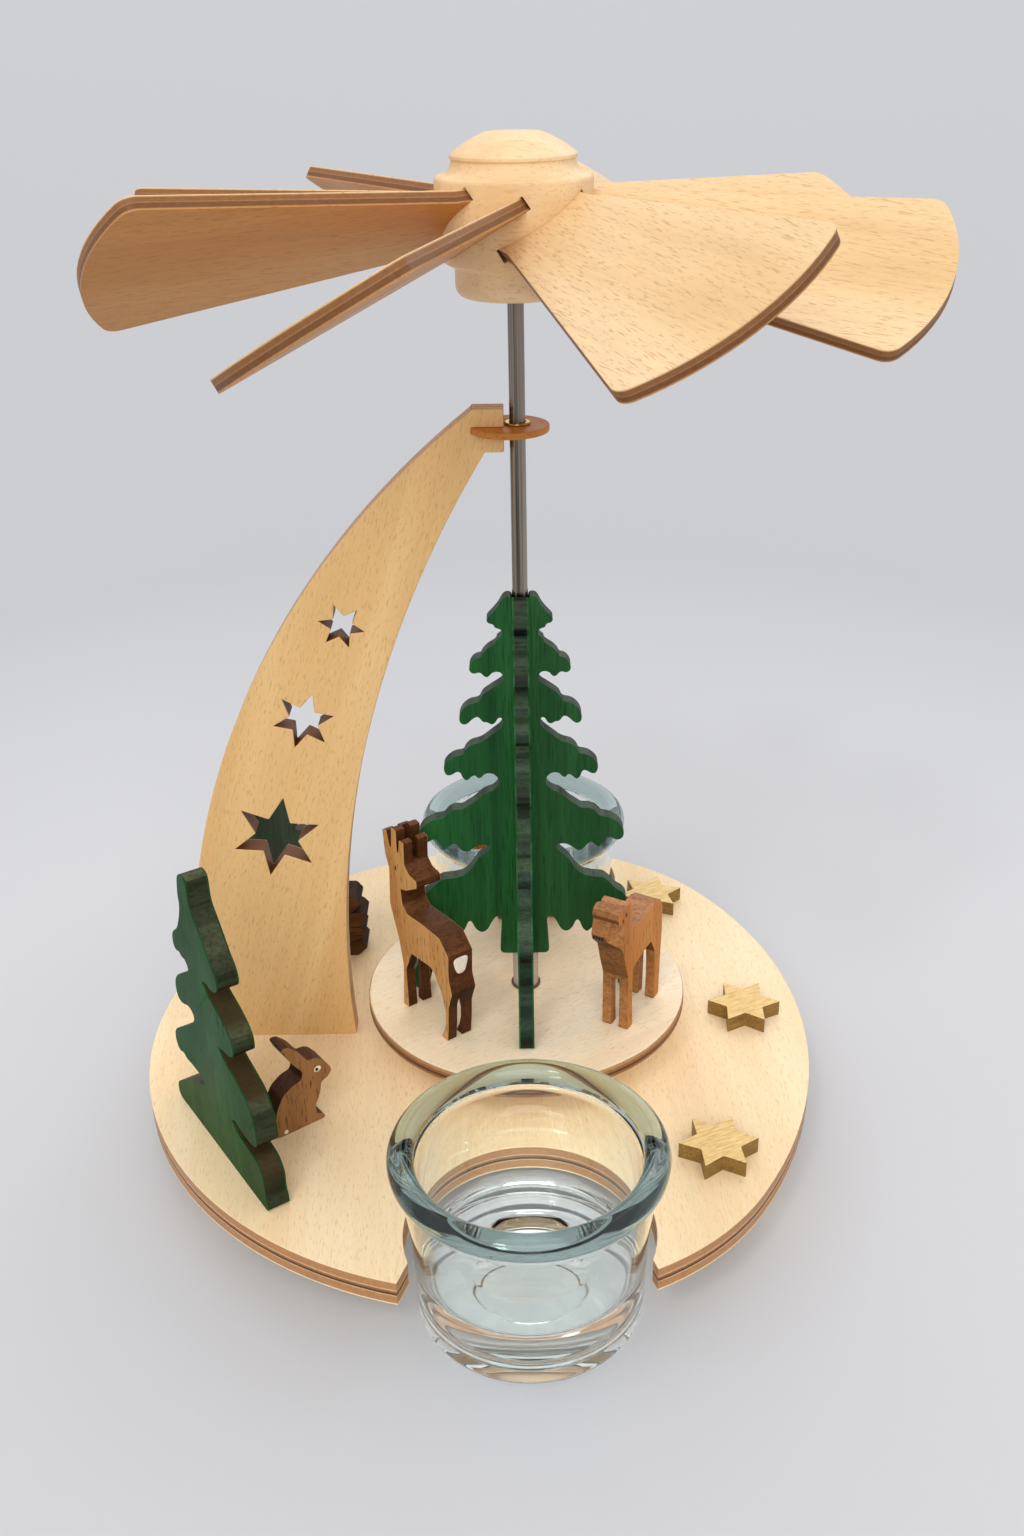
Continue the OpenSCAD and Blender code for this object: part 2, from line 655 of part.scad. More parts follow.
// Split logs glued in a stack, each with a flat top and bottom and a cleft front
module wood_pile() {
    half_w = log_size[0];
    h = log_size[1];
    color(wood_dark)
        for (k = [0:len(log_stagger) - 1])
            translate([pile_at[0] + log_stagger[k], pile_at[1], base_z + k * h])
                rotate([90, 0, 0])
                    linear_extrude(log_size[2], center = true)
                        polygon([[-half_w + 1, 0], [half_w - 2, 0], [half_w + 1.5, 0.6 * h],
                                 [half_w - 0.5, h], [-half_w + 2, h], [-half_w - 1.5, 0.5 * h]]);
}

module gold_star(k) {
    color([0.76, 0.62, 0.30])
        translate([gold_stars[k][0][0], gold_stars[k][0][1], base_z])
            linear_extrude(gold_t)
                polygon(star(gold_r, gold_waist, gold_stars[k][1]));
}

module gold_star_1() gold_star(0);
module gold_star_2() gold_star(1);
module gold_star_3() gold_star(2);

// Pressed glass: rounded foot, shallow groove, upright wall, bead rim and a ringed floor
module tealight_glass() {
    rim_c = [glass_bore_r + 1.1 + glass_rim_r, glass_h - glass_rim_r];
    groove_z = 6;
    groove_d = 0.7;
    fillet = 2;
    punt_r = 10;
    color([0.75, 0.87, 0.86, 0.45])
        rotate_extrude()
            polygon(concat([[0, 1], [punt_r, 1], [punt_r + 1, 0], [glass_r - 2.6, 0]],
                           arc([glass_r - 2.6, 2.2], 2.2, -80, -5, 5),
                           [[glass_r - 0.3, groove_z - 0.8], [glass_r - groove_d, groove_z],
                            [glass_r - 0.2, groove_z + 0.8], [glass_r, base_z]],
                           arc(rim_c, glass_rim_r, -100, 200, 20),
                           [[glass_bore_r, rim_c[1] - 3.8], [glass_bore_r, glass_floor + fillet]],
                           arc([glass_bore_r - fillet, glass_floor + fillet], fillet, -15, -90, 5),
                           [[punt_r + 1, glass_floor], [punt_r, glass_floor - 0.6], [0, glass_floor - 0.6]]));
}

module front_glass() translate([0, -glass_y, 0]) tealight_glass();
module rear_glass() translate([0, glass_y, 0]) tealight_glass();

base_plate();
foot_1();
foot_2();
foot_3();
foot_4();
pivot_cup();
arch_support();
guide_disc();
guide_bush();
spindle();
turntable();
turntable_boss();
tree_sleeve();
sleeve_ring();
tree_board_left();
tree_board_right();
tree_board_front();
tree_board_back();
stag();
doe();
fawn();
wheel_hub();
blade_1();
blade_2();
blade_3();
blade_4();
blade_5();
blade_6();
blade_7();
blade_8();
front_fir();
rear_fir();
rabbit();
wood_pile();
gold_star_1();
gold_star_2();
gold_star_3();
front_glass();
rear_glass();
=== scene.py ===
# Christmas pyramid: woods, metals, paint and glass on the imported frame
import math

import bpy
import numpy as np
from mathutils import Matrix


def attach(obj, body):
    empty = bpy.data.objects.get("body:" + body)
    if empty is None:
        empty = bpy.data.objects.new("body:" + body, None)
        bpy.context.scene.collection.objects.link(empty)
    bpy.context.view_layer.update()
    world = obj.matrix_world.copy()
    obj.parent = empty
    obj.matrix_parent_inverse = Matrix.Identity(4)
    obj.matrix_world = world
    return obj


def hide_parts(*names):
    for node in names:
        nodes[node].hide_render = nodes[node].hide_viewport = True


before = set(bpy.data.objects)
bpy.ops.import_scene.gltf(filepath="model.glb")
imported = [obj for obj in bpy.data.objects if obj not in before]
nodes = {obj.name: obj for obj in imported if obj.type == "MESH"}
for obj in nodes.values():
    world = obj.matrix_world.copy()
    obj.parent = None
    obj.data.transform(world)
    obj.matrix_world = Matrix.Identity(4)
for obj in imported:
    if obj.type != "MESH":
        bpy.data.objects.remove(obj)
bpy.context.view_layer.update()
mm = 0.001
plateTop, tableTop = 17.5, 29.1  # heights of the base plate and the turntable in mm
print("frame loaded with", len(nodes), "nodes")


# small helpers for shader trees

def tone(red, green, blue):  # screen colour 0-255 to a linear shader colour
    screen = np.array([red, green, blue]) / 255
    linear = np.where(screen > 0.04045, ((screen + 0.055) / 1.055) ** 2.4, screen / 12.92)
    return (*linear.tolist(), 1.0)


def grey(value):
    return (value, value, value, 1.0)


def startMaterial(name):
    mat = bpy.data.materials.new(name)
    mat.use_nodes = True
    tree = mat.node_tree
    return mat, tree, tree.nodes["Principled BSDF"]


def add(tree, kind, **values):  # a node, with its plain settings and its socket values
    made = tree.nodes.new("ShaderNode" + kind)
    for key, value in values.items():
        if hasattr(made, key):
            setattr(made, key, value)
        else:
            made.inputs[key].default_value = value
    return made


def join(tree, source, node, socket):
    tree.links.new(source, node.inputs[socket])


def mathNode(tree, how, first, second):  # two numbers or sockets through one Math node
    made = add(tree, "Math", operation=how)
    for k, value in enumerate((first, second)):
        if hasattr(value, "is_output"):
            tree.links.new(value, made.inputs[k])
        else:
            made.inputs[k].default_value = value
    return made.outputs["Value"]


def mix(tree, share, first, second, how="MIX"):  # two colours mixed by a share, a number or a socket
    made = add(tree, "Mix", data_type="RGBA", blend_type=how)
    for socket, value in (("Factor", share), ("A", first), ("B", second)):
        slots = [s for s in made.inputs if s.name == socket and s.enabled]
        if hasattr(value, "is_output"):
            tree.links.new(value, slots[0])
        else:
            slots[0].default_value = value
    return [s for s in made.outputs if s.enabled][0]


def ramp(tree, source, stops, steps=False):  # colour ramp from (place, colour) pairs
    made = add(tree, "ValToRGB")
    band = made.color_ramp
    if steps:
        band.interpolation = "CONSTANT"
    while len(band.elements) < len(stops):
        band.elements.new(0.5)
    for element, (place, colour) in zip(band.elements, stops):
        element.position = place
        element.color = colour
    join(tree, source, made, "Fac")
    return made.outputs["Color"]


def objectSpace(tree, place=(0, 0, 0), turn=(0, 0, 0)):  # Object coordinates in a board's own axes
    coords = add(tree, "TexCoord")
    own = add(tree, "Mapping", vector_type="TEXTURE")
    own.inputs["Location"].default_value = place
    own.inputs["Rotation"].default_value = turn
    join(tree, coords.outputs["Object"], own, "Vector")
    return own.outputs["Vector"]


def stretched(tree, space, scale, detail, rough, warp=0.0):  # noise drawn out along an axis
    size = add(tree, "Mapping")
    size.inputs["Scale"].default_value = scale
    join(tree, space, size, "Vector")
    noise = add(tree, "TexNoise", Scale=1.0, Detail=detail, Roughness=rough, Distortion=warp)
    join(tree, size.outputs["Vector"], noise, "Vector")
    return noise.outputs["Fac"]


def splitAxes(tree, space):
    parts = add(tree, "SeparateXYZ")
    join(tree, space, parts, "Vector")
    return parts.outputs


def between(tree, source, low, high):  # low to high becomes 0 to 1
    made = add(tree, "MapRange")
    made.inputs["From Min"].default_value = low
    made.inputs["From Max"].default_value = high
    join(tree, source, made, "Value")
    return made.outputs["Result"]


def bump(tree, shader, height, strength, distance):
    made = add(tree, "Bump", Strength=strength, Distance=distance)
    join(tree, height, made, "Height")
    join(tree, made.outputs["Normal"], shader, "Normal")


def dress(name, mat):  # one material on a CAD node
    mesh = nodes[name].data
    mesh.materials.clear()
    mesh.materials.append(mat)


edgeForm = {
    "weld": 0.01,
    "ease": 0.22,  # width on the solids, in mm
    "segments": 2,
    "sharp": 35,  # edges that turn by more than this, in degrees, are eased
}


def soften(piece, width):  # eased edges: corner points are merged first, then a narrow bevel follows
    weld = piece.modifiers.new("weld", "WELD")
    weld.merge_threshold = edgeForm["weld"] * mm
    ease = piece.modifiers.new("ease", "BEVEL")
    ease.width = width * mm
    ease.segments = edgeForm["segments"]
    ease.limit_method = "ANGLE"
    ease.angle_limit = math.radians(edgeForm["sharp"])
    ease.harden_normals = False


# wood seen on a face: broad bands, fine streaks and short dashes along the grain

fleckFade = 0.08  # stretch of the noise over which a dash comes in


def woodFace(tree, space, look):
    bands = stretched(tree, space, look["bandScale"], detail=3, rough=0.5, warp=0.6)
    body = ramp(tree, bands, [(0.3, look["faceDark"]), (0.5, look["face"]), (0.7, look["faceLight"])])
    streaks = stretched(tree, space, look["streakScale"], detail=4, rough=0.65, warp=0.2)
    shade = ramp(tree, streaks, [(0.25, grey(1 - look["streakDepth"])), (0.6, grey(1))])
    body = mix(tree, 1.0, body, shade, "MULTIPLY")
    flecks = stretched(tree, space, look["fleckScale"], detail=2, rough=0.5)
    dashes = ramp(tree, flecks, [(look["fleckFrom"], grey(0)), (look["fleckFrom"] + fleckFade, grey(1))])
    share = mathNode(tree, "MULTIPLY", dashes, look["fleckDepth"])
    return mix(tree, share, body, look["fleck"]), dashes


lacquer = {
    "grainDepth": 0.12 * mm,
    "wornScale": (90, 90, 90),
    "wornSpread": 0.06,  # how far the roughness strays to either side
}


def finishWood(tree, shader, look, colour, height):  # colour, raised grain and a lacquer of uneven gloss
    join(tree, colour, shader, "Base Color")
    bump(tree, shader, height, look["bump"], lacquer["grainDepth"])
    worn = stretched(tree, objectSpace(tree), lacquer["wornScale"], detail=3, rough=0.6)
    rough, spread = look["rough"], lacquer["wornSpread"]
    gloss = ramp(tree, worn, [(0.3, grey(rough - spread)), (0.7, grey(rough + spread))])
    join(tree, gloss, shader, "Roughness")
    shader.inputs["Specular IOR Level"].default_value = look["shine"]


# plywood: veneer on both faces and layers on the edges; x along the grain, z through the board

def plyBoard(name, look, place, turn):
    mat, tree, shader = startMaterial(name)
    space = objectSpace(tree, place, turn)
    through = between(tree, splitAxes(tree, space)["Z"], -look["thick"] / 2, look["thick"] / 2)
    face, dashes = woodFace(tree, space, look)
    if "under" in look:  # painted shade on the lower side
        undersideShade = ramp(tree, through, [(0, look["under"]), (0.5, grey(1))], steps=True)
        face = mix(tree, 1.0, face, undersideShade, "MULTIPLY")
    fibres = stretched(tree, space, look["edgeScale"], detail=4, rough=0.65)
    layers = ramp(tree, through, look["layers"], steps=True)
    edge = mix(tree, fibres, layers, look["edgeDark"], "MULTIPLY")
    for spot, reach in look.get("burnt", []):  # sawn holes with scorched walls
        away = add(tree, "VectorMath", operation="DISTANCE")
        away.inputs[1].default_value = spot
        join(tree, add(tree, "TexCoord").outputs["Object"], away, 0)
        near = mathNode(tree, "LESS_THAN", away.outputs["Value"], reach)
        edge = mix(tree, near, edge, look["burn"])
    skin = look["skin"]
    onFace = ramp(tree, through, [(0, grey(1)), (skin, grey(0)), (1 - skin, grey(1))], steps=True)
    finishWood(tree, shader, look, mix(tree, onFace, edge, face), mix(tree, onFace, fibres, dashes))
    return mat


# stained board: face on both sides, a rim of stain along them and a sawn edge with painted light where it
# looks up and painted shade where it looks down

def sawnBoard(name, look, place, turn):
    mat, tree, shader = startMaterial(name)
    space = objectSpace(tree, place, turn)
    through = between(tree, splitAxes(tree, space)["Z"], -look["thick"] / 2, look["thick"] / 2)
    face, dashes = woodFace(tree, space, look)
    lie = splitAxes(tree, add(tree, "TexCoord").outputs["Normal"])["Z"]
    # edge colour by the way the normal looks: painted light on edges that look up, painted shade on edges
    # that look down
    edge = ramp(tree, between(tree, lie, -1, 1), [
        (0.3, look["edgeShadedDown"]), (0.5, look["edgeSide"]), (0.68, look["edgeSide"]), (0.86, look["edgeLitUp"])])
    blocks = stretched(tree, space, look["blockScale"], detail=1, rough=0.4)
    edge = mix(tree, 1.0, edge, ramp(tree, blocks, look["blocks"]), "MULTIPLY")
    specks = stretched(tree, space, look["speckScale"], detail=3, rough=0.7)
    edge = mix(tree, 1.0, edge, ramp(tree, specks, look["specks"]), "MULTIPLY")
    for low, high in look.get("recess", []):  # painted shade deep in a notch, between two heights
        height = splitAxes(tree, space)["X"]
        footFade, topFade = look["recessFade"]
        aboveFoot = between(tree, height, low - footFade, low + footFade)
        belowTop = between(tree, height, high + topFade, high - topFade)
        inside = mathNode(tree, "MULTIPLY", aboveFoot, belowTop)
        share = mathNode(tree, "MULTIPLY", inside, look["recessShare"])
        edge = mix(tree, share, edge, look["notchShade"])
    rim = look["rim"]
    onFace = ramp(tree, through, [(0, grey(1)), (rim, grey(0)), (1 - rim, grey(1))], steps=True)
    finishWood(tree, shader, look, mix(tree, onFace, edge, face), mix(tree, onFace, specks, dashes))
    return mat


beech = {
    "face": tone(250, 224, 182),
    "faceDark": tone(243, 212, 166),
    "faceLight": tone(253, 233, 197),
    "fleck": tone(224, 184, 130),
    "fleckDepth": 0.5,
    "fleckFrom": 0.58,
    "bandScale": (6, 46, 46),
    "streakScale": (40, 900, 900),
    "streakDepth": 0.07,
    "fleckScale": (520, 3200, 3200),
    "edgeScale": (1100, 1100, 1700),
    "edgeDark": tone(196, 180, 165),
    "bump": 0.15,
    "rough": 0.42,
    "shine": 0.22,
}
plyLight = tone(234, 194, 146)
plyTan = tone(200, 150, 102)
plyBrown = tone(168, 118, 78)
plyDark = tone(104, 70, 48)

basePly = dict(beech, thick=5.5 * mm, skin=0.05, layers=[
    (0.0, plyLight), (0.06, plyTan), (0.36, plyLight), (0.41, plyDark), (0.5, plyBrown),
    (0.58, plyLight), (0.64, plyTan), (0.94, plyLight)])
baseMiddle = (0, 0, plateTop * mm - basePly["thick"] / 2)
baseGrain = (0, 0, math.radians(94))
dress("base_plate", plyBoard("basePlywood", basePly, baseMiddle, baseGrain))

tablePly = dict(
    beech, thick=3 * mm, skin=0.07, face=tone(252, 230, 196), faceLight=tone(254, 238, 211),
    faceDark=tone(247, 218, 178), layers=[
        (0.0, plyBrown), (0.3, plyDark), (0.52, plyBrown), (0.74, plyTan), (0.93, plyLight)])
tableMiddle = (0, 0, tableTop * mm - tablePly["thick"] / 2)
tableGrain = (0, 0, math.radians(35))
dress("turntable", plyBoard("turntablePlywood", tablePly, tableMiddle, tableGrain))

archStars = [  # centre and reach of each cut-out
    ((-35.2 * mm, 0, 115.6 * mm), 6.4 * mm),
    ((-44.2 * mm, 0, 95.3 * mm), 7.6 * mm),
    ((-52 * mm, 0, 68.5 * mm), 10.6 * mm),
]
archPly = dict(
    beech, thick=5 * mm, skin=0.05, face=tone(230, 189, 130), faceDark=tone(219, 175, 115),
    faceLight=tone(239, 204, 148), fleck=tone(190, 140, 86), fleckDepth=0.55, shine=0.12,
    burnt=archStars, burn=tone(116, 70, 36), layers=[
        (0.0, tone(244, 212, 170)), (0.08, tone(222, 180, 136)), (0.34, tone(246, 216, 178)),
        (0.42, tone(190, 146, 112)), (0.56, tone(246, 216, 178)), (0.64, tone(222, 180, 136)),
        (0.92, tone(244, 212, 170))])
archMiddle = (0, 0, 0)  # the middle of the board's thickness runs through the spindle
archGrain = (math.radians(90), math.radians(-74), 0)  # grain up, leaning to the right
dress("arch_support", plyBoard("archPlywood", archPly, archMiddle, archGrain))

bladePly = dict(
    beech, thick=2.4 * mm, skin=0.08, face=tone(236, 199, 148), faceDark=tone(225, 184, 129),
    faceLight=tone(244, 213, 168), fleck=tone(182, 130, 78), fleckScale=(420, 3600, 3600),
    # under: painted shade on the blades' lower sides
    streakDepth=0.12, under=tone(214, 184, 150), layers=[
        (0.0, tone(190, 142, 90)), (0.14, tone(136, 92, 56)), (0.48, tone(176, 128, 82)),
        (0.56, tone(158, 110, 68)), (0.86, tone(206, 164, 114))])
bladeMiddle = (0, 0, 191.4 * mm)
bladeSets = [  # turn, pitch and droop of each blade in degrees
    (-24, 28.5, 8), (16.5, 29, 8), (64, 30, 7), (109.5, 30, 7),
    (148.5, 30, 7), (203.5, 35, 4), (241, 29, 7.5), (292, 30.5, 6.5),
]
for k, (turn, pitch, droop) in enumerate(bladeSets):
    turned = Matrix.Rotation(math.radians(turn), 3, "Z")
    pitched = Matrix.Rotation(math.radians(pitch), 3, "X")
    drooped = Matrix.Rotation(math.radians(droop), 3, "Y")
    bladeLie = (turned @ pitched @ drooped).to_euler("XYZ")
    dress("blade_%d" % (k + 1), plyBoard("bladePlywood%d" % (k + 1), bladePly, bladeMiddle, bladeLie))
print("plywood dressed")


def solidWood(name, look):  # turned wood, no layers
    mat, tree, shader = startMaterial(name)
    face, dashes = woodFace(tree, objectSpace(tree), look)
    finishWood(tree, shader, look, face, dashes)
    return mat


turnedBeech = dict(
    beech, face=tone(240, 206, 159), faceDark=tone(230, 191, 140), faceLight=tone(247, 218, 176),
    fleck=tone(210, 164, 110), fleckDepth=0.45, fleckScale=(480, 2400, 2400), bandScale=(20, 60, 60))
hubWood = solidWood("turnedBeech", turnedBeech)
for name in ("wheel_hub", "foot_1", "foot_2", "foot_3", "foot_4", "turntable_boss"):
    dress(name, hubWood)
discWood = dict(
    turnedBeech, face=tone(198, 130, 62), faceDark=tone(170, 106, 50), faceLight=tone(216, 156, 88),
    fleck=tone(116, 66, 34), shine=0.1)
dress("guide_disc", solidWood("discWood", discWood))


def upright(at, turn, thick):  # middle and lie of a board on edge, grain up, from its start and heading
    heading = math.radians(turn)
    place = (at[0] * mm - math.sin(heading) * thick / 2, at[1] * mm + math.cos(heading) * thick / 2, 0)
    return place, (math.radians(90), math.radians(-90), heading)


greenStain = {
    "thick": 3.2 * mm,
    "rim": 0.1,
    "face": tone(34, 96, 46),
    "faceDark": tone(23, 75, 34),
    "faceLight": tone(48, 112, 56),
    "fleck": tone(14, 50, 26),
    "fleckDepth": 0.55,
    "fleckFrom": 0.56,
    "bandScale": (12, 130, 130),
    "streakScale": (30, 1500, 1500),
    "streakDepth": 0.3,
    "fleckScale": (160, 3000, 3000),
    # edges that look up get painted light, edges that look down get painted shade
    "edgeLitUp": tone(64, 84, 62),
    "edgeSide": tone(32, 54, 36),
    "edgeShadedDown": tone(14, 18, 13),
    "blockScale": (240, 240, 20),
    "blocks": [(0.36, grey(0.3)), (0.46, grey(0.9)), (0.58, grey(1)), (0.66, grey(0.5))],
    "speckScale": (1500, 1500, 900),
    "specks": [(0.34, grey(0.55)), (0.55, grey(1))],
    "bump": 0.3,
    "rough": 0.46,
    "shine": 0.16,
}
# a darker copy of the green stain for the right board: painted shade
shadedRightStain = dict(greenStain, face=tone(33, 84, 41), faceDark=tone(22, 66, 31), faceLight=tone(45, 98, 50))
for name, look, turn in (("left", greenStain, 180), ("right", shadedRightStain, 0),
                         ("front", greenStain, -90), ("back", greenStain, 90)):
    place, lie = upright((0, 0), turn, 0)  # the tree's boards are centred on the spindle
    dress("tree_board_" + name, sawnBoard(name + "TreeStain", look, place, lie))

firStain = dict(
    greenStain, thick=4.6 * mm, rim=0.07, face=tone(28, 74, 34), faceDark=tone(20, 60, 26),
    # fir edges: painted light looking up, painted shade looking down
    faceLight=tone(40, 88, 43), fleck=tone(15, 46, 22), edgeLitUp=tone(84, 90, 65),
    edgeSide=tone(54, 60, 40), edgeShadedDown=tone(36, 30, 20), blockScale=(130, 130, 10), shine=0.08,
    # painted shade in the fir's notches, just below each branch
    notchShade=tone(58, 40, 20), recess=[(24 * mm, 30.6 * mm), (40.2 * mm, 47 * mm), (53.4 * mm, 59.8 * mm)],
    recessFade=(1.2 * mm, 0.5 * mm), recessShare=0.8)
# a greyer copy of the fir stain for the rear fir: painted shade
shadedRearFirStain = dict(firStain, face=tone(58, 78, 64), faceDark=tone(46, 64, 52), faceLight=tone(70, 92, 76))
deerThick = 6  # mm, the same for stag, doe and fawn
stagStain = dict(
    greenStain, thick=deerThick * mm, rim=0.015, face=tone(200, 146, 86), faceDark=tone(182, 126, 70),
    faceLight=tone(214, 164, 104), fleck=tone(92, 56, 28), fleckDepth=0.75, fleckFrom=0.6,
    # deer edges: painted light looking up, painted shade looking down
    fleckScale=(300, 2600, 2600), streakDepth=0.16, edgeLitUp=tone(112, 70, 42), edgeSide=tone(90, 51, 25),
    edgeShadedDown=tone(56, 31, 15), blockScale=(160, 160, 20),
    blocks=[(0.36, grey(0.7)), (0.5, grey(1)), (0.64, grey(0.85))], bump=0.25, shine=0.09)
doeStain = dict(
    stagStain, face=tone(194, 124, 60), faceDark=tone(176, 105, 47), faceLight=tone(206, 141, 75),
    # doe edges: painted light looking up, painted shade looking down
    edgeLitUp=tone(204, 146, 102), edgeSide=tone(182, 124, 74), edgeShadedDown=tone(112, 72, 38))
rabbitStain = dict(
    stagStain, thick=5 * mm, face=tone(150, 104, 64), faceDark=tone(128, 86, 51),
    # rabbit edges: painted light looking up, painted shade looking down
    faceLight=tone(165, 117, 76), fleck=tone(72, 43, 26), edgeLitUp=tone(92, 60, 42),
    edgeSide=tone(76, 48, 32), edgeShadedDown=tone(36, 22, 14))
standing = {  # where each board on edge starts, in mm, its heading in degrees and its stain
    "front_fir": ((-74.1, -23.2), -56, firStain),
    "rear_fir": ((-66.8, 16.6), 65, shadedRearFirStain),
    "stag": ((-26.8, -7.2), -54, stagStain),
    "doe": ((21.4, -18.1), 60, doeStain),
    "fawn": ((-6.5, 26.2), 2, doeStain),
    "rabbit": ((-51.4, -37.8), 37, rabbitStain),
}
for name, (at, turn, look) in standing.items():
    place, lie = upright(at, turn, look["thick"])
    dress(name, sawnBoard(name + "Stain", look, place, lie))
print("figures dressed")


# light and dark streaks along the steel: painted reflections
steelLook = {
    "dark": tone(62, 55, 48),
    "light": tone(164, 153, 140),
    "rough": (0.2, 0.32),
    "streakStretch": (1100, 1100, 5),
}
brassLook = {
    "dark": tone(150, 112, 52),
    "light": tone(226, 192, 120),
    "rough": (0.24, 0.36),
    "streakStretch": (160, 160, 2600),
}


def streakedMetal(name, look):  # metal with streaks, paler and rougher in step: turned lines on the brass, painted reflections along the steel
    mat, tree, shader = startMaterial(name)
    metalStreaks = stretched(tree, objectSpace(tree), look["streakStretch"], detail=3, rough=0.6)
    join(tree, ramp(tree, metalStreaks, [(0.36, look["dark"]), (0.62, look["light"])]), shader, "Base Color")
    smooth, rough = look["rough"]
    join(tree, ramp(tree, metalStreaks, [(0.3, grey(smooth)), (0.7, grey(rough))]), shader, "Roughness")
    shader.inputs["Metallic"].default_value = 1.0
    return mat


dress("spindle", streakedMetal("drawnSteelPaintedReflections", steelLook))
brass = streakedMetal("turnedBrass", brassLook)
dress("guide_bush", brass)
dress("pivot_cup", brass)

goldLook = {
    "grainTurn": 25,
    "grainScale": (300, 1900, 1900),
    # top and side: painted light and painted shade on one gold paint
    "top": [(0.3, tone(200, 164, 96)), (0.5, tone(228, 194, 126)), (0.7, tone(242, 214, 154))],
    "side": [(0.3, tone(112, 84, 34)), (0.7, tone(158, 124, 62))],
    "turnUp": (0.4, 0.8),  # upward part of the normal at which side gives way to top
    "metal": 0.2,
    "rough": 0.48,
    "bump": 0.35,
    "grainDepth": 0.1 * mm,
}


def goldPaint(look):  # gold paint on sawn wood, with painted light on top and painted shade on the sides
    mat, tree, shader = startMaterial("goldPaint")
    space = objectSpace(tree, turn=(0, 0, math.radians(look["grainTurn"])))
    grain = stretched(tree, space, look["grainScale"], detail=4, rough=0.65)
    top = ramp(tree, grain, look["top"])
    side = ramp(tree, grain, look["side"])
    lie = splitAxes(tree, add(tree, "TexCoord").outputs["Normal"])["Z"]
    colour = mix(tree, between(tree, lie, *look["turnUp"]), side, top)
    join(tree, colour, shader, "Base Color")
    shader.inputs["Metallic"].default_value = look["metal"]
    shader.inputs["Roughness"].default_value = look["rough"]
    bump(tree, shader, grain, look["bump"], look["grainDepth"])
    return mat


gold = goldPaint(goldLook)
for k in (1, 2, 3):
    dress("gold_star_%d" % k, gold)


def plainSkin(name, colour, rough):  # one colour with faint specks
    mat, tree, shader = startMaterial(name)
    specks = stretched(tree, objectSpace(tree), scale=(900, 900, 900), detail=3, rough=0.6)
    fade = ramp(tree, specks, [(0.3, grey(0.86)), (0.6, grey(1))])
    join(tree, mix(tree, 1.0, colour, fade, "MULTIPLY"), shader, "Base Color")
    shader.inputs["Roughness"].default_value = rough
    return mat


dress("tree_sleeve", plainSkin("sleeveTube", tone(196, 180, 166), rough=0.5))
# a dark ring at the foot of the sleeve
dress("sleeve_ring", plainSkin("darkSleeveRing", tone(96, 72, 56), rough=0.6))
print("metal and gold dressed")

for name in nodes:
    if not name.endswith("glass"):
        soften(nodes[name], edgeForm["ease"])


# new pieces: a profile turned about an axis; each point of the profile is a radius and a height

def arcPoints(centre, radius, start, end, count):  # centre plus radius times cosine and sine, in even steps
    angle = np.radians(np.linspace(start, end, count))
    return np.stack([centre[0] + radius * np.cos(angle), centre[1] + radius * np.sin(angle)], 1)


def ringPoints(profile, segments):  # each radius goes round as cosine and sine, its height stays
    angle = np.linspace(0, 2 * np.pi, segments, endpoint=False)
    x = profile[:, None, 0] * np.cos(angle)
    y = profile[:, None, 0] * np.sin(angle)
    z = np.repeat(profile[:, None, 1], segments, 1)
    return np.stack([x, y, z], 2).reshape(-1, 3)


def ringFaces(rings, segments, closed=False):  # four-sided faces from each ring to the next
    strips = rings if closed else rings - 1  # on a closed loop the last ring meets the first
    i, j = np.meshgrid(np.arange(strips), np.arange(segments), indexing="ij")
    here, there = i * segments, (i + 1) % rings * segments
    k = (j + 1) % segments
    return np.stack([here + j, here + k, there + k, there + j], 2).reshape(-1, 4)


def poleFaces(pole, first, segments):  # triangles from a pole to the ring that begins at a point
    around = np.arange(segments)
    return np.stack([np.full(segments, pole), first + around, first + (around + 1) % segments], 1)


def turnedSurface(profile, segments):  # a profile from pole to pole, carried once round the axis
    rings = profile[1:-1]
    verts = np.concatenate([ringPoints(rings, segments), [[0, 0, profile[0, 1]], [0, 0, profile[-1, 1]]]])
    low = poleFaces(len(verts) - 2, 0, segments)[:, [0, 2, 1]]
    high = poleFaces(len(verts) - 1, (len(rings) - 1) * segments, segments)
    walls = ringFaces(len(rings), segments)
    return verts, walls.tolist() + low.tolist() + high.tolist()


def ringSurface(loop, segments):  # a closed loop of radius and height, carried once round the axis
    return ringPoints(loop, segments), ringFaces(len(loop), segments, closed=True).tolist()


def newObject(name, verts, faces):  # points in metres and lists of corners as a mesh in the scene
    mesh = bpy.data.meshes.new(name)
    mesh.from_pydata(verts.tolist(), [], faces)
    made = bpy.data.objects.new(name, mesh)
    bpy.context.scene.collection.objects.link(made)
    return made


def makePiece(name, verts, faces, mat, body, smooth=True):  # points in mm
    piece = newObject(name, verts * mm, faces)
    piece.data.polygons.foreach_set("use_smooth", np.full(len(faces), smooth))
    piece.data.materials.append(mat)
    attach(piece, body)
    return piece


